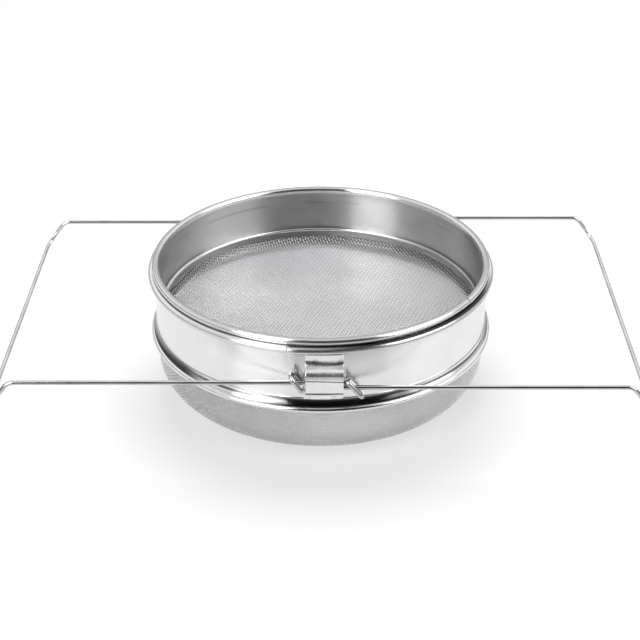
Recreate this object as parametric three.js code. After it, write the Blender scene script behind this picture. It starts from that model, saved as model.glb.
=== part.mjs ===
// Honey strainer: a coarse sieve nested in a fine one, with two sliding wire arms.
// Millimetres, Z up. The bowl stands on Z = 0, the arms lie along X, the front is -Y.
import * as THREE from 'three';
import { mergeVertices } from 'three/addons/utils/BufferGeometryUtils.js';

// Facets
const TURN_FACETS = 52;
const WIRE_SIDES = 8;
const CURL_STEPS = 8;
const CORNER_STEPS = 6;
const BEND_STEPS = 4;
const FOLD_STEPS = 2;
const WELD_TOLERANCE = 1e-5;
const SHARPEST_MITRE = 0.5;

// Sheet and wire
const SHEET = 0.6;
const MESH_THICKNESS = 0.8;
const WIRE_RADIUS = 1.5;
const FIT_GAP = 0.3;

// Rolled rims of both hoops
const CURL_RADIUS = 2.6;
const CURL_END_DEGREES = -118;

// Lower sieve
const LOWER_WALL_RADIUS = 117;
const LOWER_RIM_Z = 88.4;
const SWAGE_Z = 50.7;
const SWAGE_STEP = 0.5;
const FLARE_TOP_Z = 49.3;
const FLARE_BOTTOM_Z = 45.8;
const FLARE_STEP = 1.3;
const FOOT_Z = 43.95;
const FOOT_RADIUS = 119.8;
const BEAD_RADIUS = 121;
const BEAD_HEIGHT = 4.4;
const BEAD_CORNER = 1.2;
const BEAD_Z = 43.5;
const BEAD_SHEET = 0.7;
const BEAD_LIP_GAP = 0.4;

// Fine bowl
const BOWL_RADIUS = 116.4;
const BOWL_FLANGE_RADIUS = 119.4;
const BOWL_FLANGE_Z = 42.85;
const BOWL_CORNER_RADIUS = 24;
const BOWL_CORNER_Z = 26.2;
const BOWL_CORNER_DEGREES = 84;
const BOWL_FOOT_RADIUS = 72;

// Upper sieve
const UPPER_WALL_RADIUS = 114.3;
const UPPER_RIM_Z = 93.3;
const LEDGE_Z = 49.3;
const LEDGE_INNER_RADIUS = 108.6;
const LEDGE_CORNER = 1.6;
const SKIRT_RADIUS = 113.4;
const SKIRT_TOP_Z = 60.6;
const DISH_CORNER_RADIUS = 4.5;
const DISH_CORNER_Z = 55.3;
const DISH_SAG = 1.2;
const DISH_RING_SHARE = 0.55;
const HOOP_OUTER_RADIUS = 112.3;
const HOOP_SHEET = 0.9;
const HOOP_BOTTOM_Z = 55.9;
const HOOP_BEAD_RADIUS = 1;
const HOOP_BEAD_Z = 61.3;
const HOOP_BEAD_DEGREES = 276;

// Brackets
const BRACKET_WIDTH = 24.4;
const BRACKET_SHIFT_X = 2.4;
const BRACKET_SHEET = 1.0;
const BRACKET_SECTIONS = 6;
const BRACKET_TOP_Z = 83.6;
const BRACKET_BOTTOM_Z = 51.5;
const TAB_GAP = 0.3;
const TAB_BLEND = 4;
const SLOPE_TOP_Z = 77.2;
const SLOPE_BEND = 4.2;
const SHOULDER_OFFSET = 6.35;
const SHOULDER_Z = 73.4;
const SHOULDER_BEND = 3.4;
const FACE_OFFSET = 6.9;
const FACE_TOP_Z = 69.2;
const FACE_CREASE = 2;
const FACE_BOTTOM_Z = 60;
const SHELF_BEND = 0.8;
const SHELF_Z = 57.3;
const SHELF_FOLD = 2.2;

// Arms
const LEG_Y = 121.8;
const LANE_HIGH_Z = 66.5;
const LANE_LOW_Z = 62.9;
const LEG_END_X = 200.8;
const CROSSBAR_X = 214.8;
const CROSSBAR_DROP = 17.6;
const FOLD_RADIUS = 8;
const CORNER_RADIUS = 12;
const HOOK_CLEARANCE = 1.3;
const HOOK_SIDE = 3.4;
const HOOK_BEND = 1.9;
const HOOK_CURL = 3.3;
const HOOK_STEP_X = 0.9;
const HOOK_SWING = 1.9;
const HOOK_TAIL_X = 1.6;
const HOOK_TAIL_SHARE = 0.9;
const DOWN_HOOK_X = 26.8;
const DOWN_HOOK_DEPTH = 6.4;
const UP_HOOK_X = 19.2;
const UP_HOOK_HEIGHT = 5.3;

// Finishes
const FINISH = {
  sheet: { color: 0xd5d6d8, roughness: 0.22 },
  ring: { color: 0xd0d1d3, roughness: 0.22 },
  strap: { color: 0xd8d9db, roughness: 0.2 },
  wire: { color: 0xb9babd, roughness: 0.18 },
  fineMesh: { color: 0xa6a7aa, roughness: 0.5 },
  coarseMesh: { color: 0xb4b5b8, roughness: 0.45 },
};

const rad = THREE.MathUtils.degToRad;

/** Points of an arc in the plane of radius and height, ends included. */
function arc(centreR, centreZ, radius, fromDegrees, toDegrees, steps) {
  const points = [];
  for (let i = 0; i <= steps; i += 1) {
    const angle = rad(fromDegrees + ((toDegrees - fromDegrees) * i) / steps);
    points.push([centreR + radius * Math.cos(angle), centreZ + radius * Math.sin(angle)]);
  }
  return points;
}

/** Joins equal corners and drops triangles that have no area. */
function weld(geometry) {
  const bare = geometry.clone();
  bare.deleteAttribute('normal');
  bare.deleteAttribute('uv');
  const merged = mergeVertices(bare, WELD_TOLERANCE);
  const source = merged.getIndex().array;
  const kept = [];
  for (let i = 0; i < source.length; i += 3) {
    const [a, b, c] = [source[i], source[i + 1], source[i + 2]];
    if (a !== b && b !== c && c !== a) kept.push(a, b, c);
  }
  merged.setIndex(kept);
  return merged;
}

/** Volume inside a closed surface, negative when its faces look inward. */
function signedVolume(geometry) {
  const position = geometry.getAttribute('position');
  const index = geometry.getIndex().array;
  const corner = [new THREE.Vector3(), new THREE.Vector3(), new THREE.Vector3()];
  let volume = 0;
  for (let i = 0; i < index.length; i += 3) {
    corner.forEach((point, k) => point.fromBufferAttribute(position, index[i + k]));
    volume += corner[0].dot(corner[1].clone().cross(corner[2])) / 6;
  }
  return volume;
}

/** Turns every face of a closed surface outward. */
function outward(geometry) {
  if (signedVolume(geometry) > 0) return geometry;
  const index = Array.from(geometry.getIndex().array);
  for (let i = 0; i < index.length; i += 3) {
    [index[i], index[i + 1]] = [index[i + 1], index[i]];
  }
  geometry.setIndex(index);
  return geometry;
}

/** Spins a closed outline of [radius, height] points about the Z axis. */
function spin(outline) {
  const points = [...outline, outline[0]].map(([r, z]) => new THREE.Vector2(r, z));
  const turned = new THREE.LatheGeometry(points, TURN_FACETS).rotateX(Math.PI / 2);
  return outward(weld(turned));
}

/** Spins an outline whose two ends lie on the Z axis, so that it needs no closing line. */
function spinDish(outline) {
  const points = outline.map(([r, z]) => new THREE.Vector2(r, z));
  const turned = new THREE.LatheGeometry(points, TURN_FACETS).rotateX(Math.PI / 2);
  return outward(weld(turned));
}

/** Joins a row of equal closed sections side by side, with both ends left open. */
function skin(sections) {
  const count = sections[0].length;
  const positions = sections.flat().flatMap((point) => point.toArray());
  const index = [];
  for (let s = 0; s + 1 < sections.length; s += 1) {
    for (let i = 0; i < count; i += 1) {
      const next = (i + 1) % count;
      const [a, b] = [s * count + i, s * count + next];
      const [c, d] = [a + count, b + count];
      index.push(a, b, d, a, d, c);
    }
  }
  return { positions, index, count };
}

/** Makes a geometry from plain lists. */
function surface(positions, index) {
  const geometry = new THREE.BufferGeometry();
  geometry.setAttribute('position', new THREE.Float32BufferAttribute(positions, 3));
  geometry.setIndex(index);
  return outward(geometry);
}

/** One corner of a path and the radius that it is bent to. */
function bend(x, y, z, radius = 0, steps = 0) {
  return { at: new THREE.Vector3(x, y, z), radius, steps };
}

/** Rounds the inner corners of a path, each with its own radius. */
function roundedPath(corners) {
  const path = [corners[0].at];
  for (let i = 1; i + 1 < corners.length; i += 1) {
    const { at, radius, steps } = corners[i];
    const before = corners[i - 1].at.clone().sub(at).normalize();
    const after = corners[i + 1].at.clone().sub(at).normalize();
    const half = before.angleTo(after) / 2;
    const middle = before.clone().add(after).normalize();
    const centre = at.clone().addScaledVector(middle, radius / Math.sin(half));
    const from = at.clone().addScaledVector(before, radius / Math.tan(half)).sub(centre);
    const to = at.clone().addScaledVector(after, radius / Math.tan(half)).sub(centre);
    const axis = from.clone().cross(to).normalize();
    const sweep = from.angleTo(to);
    for (let k = 0; k <= steps; k += 1) {
      path.push(from.clone().applyAxisAngle(axis, (sweep * k) / steps).add(centre));
    }
  }
  path.push(corners[corners.length - 1].at);
  return path;
}

/** Sweeps a round wire along a path. Each section keeps one flat side facing down. */
function wire(path) {
  const up = new THREE.Vector3(0, 0, 1);
  const sections = path.map((point, i) => {
    const back = path[Math.max(i - 1, 0)];
    const ahead = path[Math.min(i + 1, path.length - 1)];
    const into = point.clone().sub(back).normalize();
    const out = ahead.clone().sub(point).normalize();
    const along = into.add(out).normalize();
    const side = along.clone().cross(up).normalize();
    const rise = side.clone().cross(along);
    const ring = [];
    for (let k = 0; k < WIRE_SIDES; k += 1) {
      const angle = ((k + 0.5) / WIRE_SIDES) * Math.PI * 2;
      const radius = WIRE_RADIUS / Math.cos(Math.PI / WIRE_SIDES);
      const offset = side.clone().multiplyScalar(Math.cos(angle) * radius);
      ring.push(offset.addScaledVector(rise, Math.sin(angle) * radius).add(point));
    }
    return ring;
  });
  const { positions, index, count } = skin(sections);
  const last = (sections.length - 1) * count;
  for (let k = 1; k + 1 < count; k += 1) {
    index.push(0, k + 1, k, last, last + k, last + k + 1);
  }
  return surface(positions, index);
}

/** Outline of a rolled rim, from its inner wall face over the top to its free edge and back. */
function rolledRim(innerRadius, rimZ) {
  const centreR = innerRadius + CURL_RADIUS;
  const outer = arc(centreR, rimZ, CURL_RADIUS, 180, CURL_END_DEGREES, CURL_STEPS);
  const inner = arc(centreR, rimZ, CURL_RADIUS - SHEET, CURL_END_DEGREES, 180, CURL_STEPS);
  return [...outer, ...inner];
}

/** Lower hoop: rolled rim, straight wall, swaged step, flare and out-turned foot. */
function lowerBand() {
  const inner = LOWER_WALL_RADIUS - SHEET;
  const wide = LOWER_WALL_RADIUS + SWAGE_STEP;
  const flared = wide + FLARE_STEP;
  return spin([
    ...rolledRim(inner, LOWER_RIM_Z),
    [LOWER_WALL_RADIUS, SWAGE_Z + SWAGE_STEP],
    [wide, SWAGE_Z],
    [wide, FLARE_TOP_Z],
    [flared, FLARE_BOTTOM_Z],
    [flared, FOOT_Z + SHEET / 2],
    [FOOT_RADIUS, FOOT_Z + SHEET / 2],
    [FOOT_RADIUS, FOOT_Z - SHEET / 2],
    [flared - SHEET, FOOT_Z - SHEET / 2],
    [flared - SHEET, FLARE_BOTTOM_Z],
    [wide - SHEET, FLARE_TOP_Z],
    [wide - SHEET, SWAGE_Z - SWAGE_STEP],
    [inner, SWAGE_Z],
  ]);
}

/** C-shaped bead that grips the foot of the lower hoop and the edge of the bowl. */
function lowerClampRing() {
  const topLip = LOWER_WALL_RADIUS + SWAGE_STEP + FLARE_STEP + FIT_GAP;
  const bottomLip = BOWL_RADIUS + BEAD_LIP_GAP;
  const top = BEAD_Z + BEAD_HEIGHT / 2;
  const bottom = BEAD_Z - BEAD_HEIGHT / 2;
  const centreR = BEAD_RADIUS - BEAD_CORNER;
  const high = top - BEAD_CORNER;
  const low = bottom + BEAD_CORNER;
  const hollow = BEAD_CORNER - BEAD_SHEET;
  return spin([
    [topLip, top],
    ...arc(centreR, high, BEAD_CORNER, 90, 0, FOLD_STEPS),
    ...arc(centreR, low, BEAD_CORNER, 0, -90, FOLD_STEPS),
    [bottomLip, bottom],
    [bottomLip, bottom + BEAD_SHEET],
    ...arc(centreR, low, hollow, -90, 0, FOLD_STEPS),
    ...arc(centreR, high, hollow, 0, 90, FOLD_STEPS),
    [topLip, top - BEAD_SHEET],
  ]);
}

/** Fine mesh bowl: flat edge under the foot, upright side, round corner and flat middle. */
function lowerMesh() {
  const thick = MESH_THICKNESS;
  const centreR = BOWL_RADIUS - BOWL_CORNER_RADIUS;
  const turn = -BOWL_CORNER_DEGREES;
  const outer = arc(centreR, BOWL_CORNER_Z, BOWL_CORNER_RADIUS, 0, turn, CORNER_STEPS);
  const hollow = BOWL_CORNER_RADIUS - thick;
  const inner = arc(centreR, BOWL_CORNER_Z, hollow, turn, 0, CORNER_STEPS);
  return spinDish([
    [0, 0],
    [BOWL_FOOT_RADIUS, 0],
    ...outer.reverse(),
    [BOWL_RADIUS, BOWL_FLANGE_Z - thick / 2],
    [BOWL_FLANGE_RADIUS, BOWL_FLANGE_Z - thick / 2],
    [BOWL_FLANGE_RADIUS, BOWL_FLANGE_Z + thick / 2],
    [BOWL_RADIUS, BOWL_FLANGE_Z + thick / 2],
    [BOWL_RADIUS - thick, BOWL_FLANGE_Z - thick / 2],
    ...inner.reverse(),
    [BOWL_FOOT_RADIUS, thick],
    [0, thick],
  ]);
}

/** Upper hoop: rolled rim, straight wall and an in-turned ledge under the coarse mesh. */
function upperBand() {
  const inner = UPPER_WALL_RADIUS - SHEET;
  const bottom = LEDGE_Z - SHEET / 2;
  const centreR = UPPER_WALL_RADIUS - LEDGE_CORNER;
  const centreZ = bottom + LEDGE_CORNER;
  return spin([
    ...rolledRim(inner, UPPER_RIM_Z),
    ...arc(centreR, centreZ, LEDGE_CORNER, 0, -90, FOLD_STEPS),
    [LEDGE_INNER_RADIUS, bottom],
    [LEDGE_INNER_RADIUS, bottom + SHEET],
    ...arc(centreR, centreZ, LEDGE_CORNER - SHEET, -90, 0, FOLD_STEPS),
  ]);
}

/** Coarse mesh dish: upright skirt, cove and a floor that sags a little. */
function upperMesh() {
  const thick = MESH_THICKNESS;
  const centreR = SKIRT_RADIUS - thick - DISH_CORNER_RADIUS;
  const floor = DISH_CORNER_Z - DISH_CORNER_RADIUS;
  const outer = arc(centreR, DISH_CORNER_Z, DISH_CORNER_RADIUS + thick, -90, 0, BEND_STEPS);
  const inner = arc(centreR, DISH_CORNER_Z, DISH_CORNER_RADIUS, 0, -90, BEND_STEPS);
  const ring = centreR * DISH_RING_SHARE;
  const ringZ = floor - DISH_SAG * (1 - DISH_RING_SHARE ** 2);
  return spinDish([
    [0, floor - DISH_SAG - thick],
    [ring, ringZ - thick],
    ...outer,
    [SKIRT_RADIUS, SKIRT_TOP_Z],
    [SKIRT_RADIUS - thick, SKIRT_TOP_Z],
    ...inner,
    [ring, ringZ],
    [0, floor - DISH_SAG],
  ]);
}

/** Strip with a round bead on top, which presses the skirt of the coarse mesh against the upper wall. */
function upperClampRing() {
  const beadR = HOOP_OUTER_RADIUS - HOOP_BEAD_RADIUS;
  return spin([
    [HOOP_OUTER_RADIUS, HOOP_BOTTOM_Z],
    ...arc(beadR, HOOP_BEAD_Z, HOOP_BEAD_RADIUS, 0, HOOP_BEAD_DEGREES, CORNER_STEPS),
    [HOOP_OUTER_RADIUS - HOOP_SHEET, HOOP_BOTTOM_Z],
  ]);
}

/** Side view of a bracket as [offset from the wall, height], from the top tab to the bottom one. */
function bracketLine() {
  const path = roundedPath([
    bend(0, TAB_GAP, BRACKET_TOP_Z),
    bend(0, TAB_GAP, SLOPE_TOP_Z, SLOPE_BEND, FOLD_STEPS),
    bend(0, SHOULDER_OFFSET, SHOULDER_Z, SHOULDER_BEND, FOLD_STEPS),
    bend(0, FACE_OFFSET, FACE_TOP_Z, FACE_CREASE, FOLD_STEPS),
    bend(0, FACE_OFFSET, FACE_BOTTOM_Z, SHELF_BEND, FOLD_STEPS),
    bend(0, TAB_GAP, SHELF_Z, SHELF_FOLD, FOLD_STEPS),
    bend(0, TAB_GAP, BRACKET_BOTTOM_Z),
  ]);
  return path.map((point) => [point.y, point.z]);
}

/** Moves an open line sideways by a sheet thickness. */
function thickened(line) {
  return line.map((point, i) => {
    const back = new THREE.Vector2(...line[Math.max(i - 1, 0)]);
    const here = new THREE.Vector2(...point);
    const ahead = new THREE.Vector2(...line[Math.min(i + 1, line.length - 1)]);
    const into = i > 0 ? here.clone().sub(back).normalize() : ahead.clone().sub(here).normalize();
    const out = i + 1 < line.length ? ahead.clone().sub(here).normalize() : into.clone();
    const left = new THREE.Vector2(-into.y - out.y, into.x + out.x).normalize();
    const mitre = Math.max(SHARPEST_MITRE, left.dot(new THREE.Vector2(-into.y, into.x)));
    const reach = BRACKET_SHEET / mitre;
    return [point[0] + left.x * reach, point[1] + left.y * reach];
  });
}

/** Folded strap at the front. Its tabs follow the round wall and its face stays flat. */
function bracket() {
  const inner = bracketLine();
  const outer = thickened(inner);
  const outline = [...inner, ...outer.reverse()];
  const sections = [];
  for (let s = 0; s <= BRACKET_SECTIONS; s += 1) {
    const x = BRACKET_SHIFT_X + BRACKET_WIDTH * (s / BRACKET_SECTIONS - 0.5);
    const fall = LOWER_WALL_RADIUS - Math.sqrt(LOWER_WALL_RADIUS ** 2 - x ** 2);
    sections.push(outline.map(([offset, z]) => {
      const follow = THREE.MathUtils.clamp(1 - (offset - TAB_GAP - BRACKET_SHEET) / TAB_BLEND, 0, 1);
      return new THREE.Vector3(x, -LOWER_WALL_RADIUS - offset + fall * follow, z);
    }));
  }
  const { positions, index, count } = skin(sections);
  const flat = outline.map(([offset, z]) => new THREE.Vector2(offset, z));
  const last = BRACKET_SECTIONS * count;
  THREE.ShapeUtils.triangulateShape(flat, []).forEach(([a, b, c]) => {
    index.push(a, c, b, last + a, last + b, last + c);
  });
  return surface(positions, index);
}

/** Hooked end that wraps the other arm's leg, from the bracket outward along +X. */
function hook(legY, ownZ, otherZ, tipX, tipZ) {
  const startX = BRACKET_WIDTH / 2 - Math.sign(legY) * BRACKET_SHIFT_X + HOOK_CLEARANCE;
  const outside = legY + Math.sign(legY) * HOOK_SIDE;
  const inside = legY - Math.sign(legY) * HOOK_SIDE;
  const swungZ = ownZ - Math.sign(tipZ - ownZ) * HOOK_SWING;
  const tailZ = otherZ + (ownZ - otherZ) * HOOK_TAIL_SHARE;
  return [
    bend(startX, legY, ownZ, HOOK_BEND, FOLD_STEPS),
    bend(startX + HOOK_STEP_X, outside, swungZ, HOOK_BEND, BEND_STEPS),
    bend(tipX, outside, tipZ, HOOK_CURL, BEND_STEPS),
    bend(tipX, inside, tipZ, HOOK_CURL, BEND_STEPS),
    bend(startX + HOOK_TAIL_X, inside, tailZ),
  ];
}

/** Left arm: a U of wire with its crossbar folded down. Its front leg runs in the high lane. */
function arm() {
  const downHook = hook(
    -LEG_Y, LANE_HIGH_Z, LANE_LOW_Z, DOWN_HOOK_X, LANE_LOW_Z - DOWN_HOOK_DEPTH,
  );
  const upHook = hook(LEG_Y, LANE_LOW_Z, LANE_HIGH_Z, UP_HOOK_X, LANE_HIGH_Z + UP_HOOK_HEIGHT);
  return wire(roundedPath([
    ...downHook.reverse(),
    bend(-LEG_END_X, -LEG_Y, LANE_HIGH_Z, FOLD_RADIUS, BEND_STEPS),
    bend(-CROSSBAR_X, -LEG_Y, LANE_HIGH_Z - CROSSBAR_DROP, CORNER_RADIUS, CORNER_STEPS),
    bend(-CROSSBAR_X, LEG_Y, LANE_LOW_Z - CROSSBAR_DROP, CORNER_RADIUS, CORNER_STEPS),
    bend(-LEG_END_X, LEG_Y, LANE_LOW_Z, FOLD_RADIUS, BEND_STEPS),
    ...upHook,
  ]));
}

/** Names a piece and gives it its own finish. */
function piece(name, geometry, finish) {
  const material = new THREE.MeshStandardMaterial({ metalness: 1, ...finish });
  const mesh = new THREE.Mesh(geometry, material);
  mesh.name = name;
  return mesh;
}

const strainer = new THREE.Group();
strainer.name = 'honey_strainer';
strainer.add(
  piece('lower_band', lowerBand(), FINISH.sheet),
  piece('lower_clamp_ring', lowerClampRing(), FINISH.ring),
  piece('lower_mesh', lowerMesh(), FINISH.fineMesh),
  piece('upper_band', upperBand(), FINISH.sheet),
  piece('upper_mesh', upperMesh(), FINISH.coarseMesh),
  piece('upper_clamp_ring', upperClampRing(), FINISH.ring),
  piece('front_bracket', bracket(), FINISH.strap),
  piece('rear_bracket', bracket().rotateZ(Math.PI), FINISH.strap),
  piece('left_arm', arm(), FINISH.wire),
  piece('right_arm', arm().rotateZ(Math.PI), FINISH.wire),
);

export default strainer;
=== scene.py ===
"""Studio scene of a double honey strainer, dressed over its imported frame.

Sizes are in millimetres in the part's own frame: +X along the arms, -Y to the front, +Z up.
They become metres only where Blender is handed a length. Directions are degrees about +Z, from +X.
"""

import logging
import math
from dataclasses import dataclass
from enum import Enum

import bpy
import numpy as np
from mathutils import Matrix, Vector


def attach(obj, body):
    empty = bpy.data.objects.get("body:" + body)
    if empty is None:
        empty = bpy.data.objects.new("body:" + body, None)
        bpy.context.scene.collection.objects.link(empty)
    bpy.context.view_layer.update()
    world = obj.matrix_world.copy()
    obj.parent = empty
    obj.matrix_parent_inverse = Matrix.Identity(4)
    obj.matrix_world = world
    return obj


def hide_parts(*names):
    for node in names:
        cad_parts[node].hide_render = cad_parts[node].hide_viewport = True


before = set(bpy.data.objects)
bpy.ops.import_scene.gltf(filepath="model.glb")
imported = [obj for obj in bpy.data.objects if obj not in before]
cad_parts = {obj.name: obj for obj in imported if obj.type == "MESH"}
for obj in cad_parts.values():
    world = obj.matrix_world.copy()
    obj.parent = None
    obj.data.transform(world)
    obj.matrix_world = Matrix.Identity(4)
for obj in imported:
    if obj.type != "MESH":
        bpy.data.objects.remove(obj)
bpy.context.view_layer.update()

MM = 0.001
MERGE_DISTANCE = 1e-6
SMOOTH_DEGREES = 42.0
NOISE_ROUGHNESS = 0.6
QUARTER_TURN = 0.25
MIX_INPUTS = (0, 6, 7)
MIX_OUTPUT = 2
QUAD = 4
ORIGIN = (0.0, 0.0, 0.0)
UPRIGHT = (0.0, 0.0, 1.0)
WHITE = (1.0, 1.0, 1.0)
LOG = logging.getLogger("strainer")

Flat = tuple[float, float]
Place = tuple[float, float, float]
Noise = tuple[Place, float]
Socket = bpy.types.NodeSocket
Piece = bpy.types.Object
Material = bpy.types.Material


class Body(Enum):
    """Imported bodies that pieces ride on."""

    LOWER = "lower_sieve"
    UPPER = "upper_sieve"
    LEFT = "left_arm"
    RIGHT = "right_arm"


class Lay(Enum):
    """The two directions of the wires in a cloth."""

    WARP = "warp"
    WEFT = "weft"


def steel(level: float, blue: float = 0.005) -> Place:
    """Return the grey of bare steel, with a little more blue."""
    return (level, level, level + blue)


def radians(*degrees: float) -> tuple[float, ...]:
    """Return angles in radians."""
    return tuple(math.radians(d) for d in degrees)


def heights(*degrees: float) -> tuple[float, ...]:
    """Return how high directions at these elevations point, from 0 at the horizon to 1 overhead."""
    return tuple(math.sin(math.radians(d)) for d in degrees)


# Shader graphs


class Value:
    """A number that varies over a surface. Sums on it add Math nodes."""

    def __init__(self, graph: "Graph", socket: Socket) -> None:
        """Keep the graph and the socket that carries the number."""
        self.graph = graph
        self.socket = socket

    def __add__(self, other: "Value | float") -> "Value":
        """Return self + other."""
        return self.graph.math("ADD", self, other)

    def __sub__(self, other: "Value | float") -> "Value":
        """Return self - other."""
        return self.graph.math("SUBTRACT", self, other)

    def __rsub__(self, other: float) -> "Value":
        """Return other - self."""
        return self.graph.math("SUBTRACT", other, self)

    def __mul__(self, other: "Value | float") -> "Value":
        """Return self * other."""
        return self.graph.math("MULTIPLY", self, other)

    def __abs__(self) -> "Value":
        """Return the size of self without its sign."""
        return self.graph.math("ABSOLUTE", self)

    __radd__ = __add__
    __rmul__ = __mul__

    def rise(self, low: float, high: float) -> "Value":
        """Return 0 below low, 1 above high and a smooth step between."""
        sockets = {"Value": self, "From Min": low, "From Max": high}
        return self.graph.value("ShaderNodeMapRange", {"interpolation_type": "SMOOTHSTEP"}, sockets)

    def step(self, at: float, soft: float) -> "Value":
        """Return 0 below a place in millimetres and 1 above it, with a soft edge."""
        return self.rise((at - soft) * MM, (at + soft) * MM)

    def window(self, low: float, high: float, soft: float) -> "Value":
        """Return 1 between low and high and 0 outside, with soft edges."""
        return self.rise(low - soft, low + soft) * (1.0 - self.rise(high - soft, high + soft))

    def sway(self, amount: float) -> "Value":
        """Return how far a noise is from its middle, times an amount."""
        return (self - 0.5) * amount


class Graph:
    """A node tree that is written from nothing."""

    def __init__(self, tree: bpy.types.NodeTree) -> None:
        """Empty the tree and keep it."""
        self.tree = tree
        self.tree.nodes.clear()

    def add(self, kind: str, settings: dict | None = None, sockets: dict | None = None) -> bpy.types.Node:
        """Add one node.

        Args:
            kind: Blender's name of the node type.
            settings: Properties that are set before the sockets.
            sockets: Values or links by input name or index.

        Returns:
            The new node.
        """
        node = self.tree.nodes.new(kind)
        for key, value in (settings or {}).items():
            setattr(node, key, value)
        for key, value in (sockets or {}).items():
            self.join(node.inputs[key], value)
        return node

    def join(self, target: Socket, value: object) -> None:
        """Feed an input.

        Args:
            target: The input.
            value: What is linked to it, or its own value. A colour is given without alpha.
        """
        if isinstance(value, Value):
            self.tree.links.new(value.socket, target)
        elif isinstance(value, Socket):
            self.tree.links.new(value, target)
        elif target.type == "RGBA":
            target.default_value = (*value, 1.0)
        else:
            target.default_value = value

    def value(self, kind: str, settings: dict, sockets: dict, output: int | str = 0) -> Value:
        """Add one node and return one of its outputs as a number."""
        return Value(self, self.add(kind, settings, sockets).outputs[output])

    def math(self, operation: str, *terms: "Value | float") -> Value:
        """Add one Math node for an operation on its terms."""
        return self.value("ShaderNodeMath", {"operation": operation}, dict(enumerate(terms)))

    def coordinates(self, kind: str) -> Socket:
        """Return one kind of texture coordinates."""
        return self.add("ShaderNodeTexCoord").outputs[kind]

    def axes(self, source: Socket) -> tuple[Value, Value, Value]:
        """Split a vector into its three numbers."""
        parts = self.add("ShaderNodeSeparateXYZ", sockets={0: source})
        return tuple(Value(self, part) for part in parts.outputs)

    def mix(self, factor: Value, low: "Place | Socket", high: Place) -> Socket:
        """Mix a colour, plain or varying, with a plain one by a number."""
        sockets = dict(zip(MIX_INPUTS, (factor, low, high)))
        return self.add("ShaderNodeMix", {"data_type": "RGBA"}, sockets).outputs[MIX_OUTPUT]


class Surface(Graph):
    """The graph of a finish, with what finishes read: the place in metres, a grain and smudges."""

    def __init__(self, tree: bpy.types.NodeTree, finish: "Finish") -> None:
        """Read the place and both noises.

        Args:
            tree: The material's node tree.
            finish: The finish that says how fine the noises are.
        """
        super().__init__(tree)
        self.place = self.coordinates("Object")
        self.x, self.y, self.z = self.axes(self.place)
        self.grain = self.noise(*finish.grain_noise)
        self.smudge = self.noise(*finish.smudge_noise)

    def noise(self, scale: Place, detail: float) -> Value:
        """Return noise over the place.

        Args:
            scale: How many times it repeats in a metre along each axis.
            detail: How many finer layers it has.

        Returns:
            A number near 0.5, from 0 to 1.
        """
        spread = self.add("ShaderNodeMapping", sockets={"Vector": self.place, "Scale": scale}).outputs[0]
        sockets = {"Vector": spread, "Scale": 1.0, "Detail": detail, "Roughness": NOISE_ROUGHNESS}
        return self.value("ShaderNodeTexNoise", {}, sockets, "Fac")

    def turn(self) -> Value:
        """Return the direction about the upright axis, in radians."""
        return self.math("ARCTAN2", self.y, self.x)

    def radius(self) -> Value:
        """Return the distance from the upright axis."""
        return self.math("SQRT", self.x * self.x + self.y * self.y)

    def bump(self, height: Value, depth: float) -> Socket:
        """Turn a height from 0 to 1 into a normal, with its depth in millimetres."""
        sockets = {"Height": height, "Distance": depth * MM, "Strength": 1.0}
        return self.add("ShaderNodeBump", sockets=sockets).outputs["Normal"]


def new_material(name: str) -> Material:
    """Make a material that has a node tree.

    Args:
        name: Its name.

    Returns:
        The material.
    """
    material = bpy.data.materials.new(name)
    material.use_nodes = True
    return material


# Finishes


@dataclass(frozen=True, kw_only=True)
class Finish:
    """Bare steel that is dull in patches, and rough by a fine grain and broad smudges."""

    name: str
    bright: Place
    dull: Place
    roughness: float
    patches: Flat = (0.35, 0.7)
    grain_noise: Noise
    grain_rough: float
    smudge_noise: Noise
    smudge_rough: float = 0.0

    def colour(self, on: Surface) -> Socket:
        """Return the colour of the steel."""
        return on.mix(on.smudge.rise(*self.patches), self.dull, self.bright)

    def rough(self, on: Surface) -> Value:
        """Return how rough the steel is."""
        return self.roughness + on.grain.sway(self.grain_rough) + on.smudge.sway(self.smudge_rough)

    def sockets(self, on: Surface) -> dict:
        """Return the inputs of the shader by name."""
        return {"Base Color": self.colour(on), "Roughness": self.rough(on)}

    def material(self) -> Material:
        """Write the finish as a bare metal shader.

        Returns:
            The material.
        """
        material = new_material(self.name)
        on = Surface(material.node_tree, self)
        shader = on.add("ShaderNodeBsdfPrincipled", sockets={"Metallic": 1.0, **self.sockets(on)})
        on.add("ShaderNodeOutputMaterial", sockets={"Surface": shader.outputs[0]})
        return material


@dataclass(frozen=True)
class Fold:
    """A line of painted shade at one height, with its half width, soft edge, darkness and how far it is
    broken up.
    """

    z: float
    half: float
    soft: float
    share: float
    broken: float = 0.0

    def line(self, z: Value) -> Value:
        """Return how dark the line is at a height."""
        return z.window((self.z - self.half) * MM, (self.z + self.half) * MM, self.soft * MM) * self.share


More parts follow.
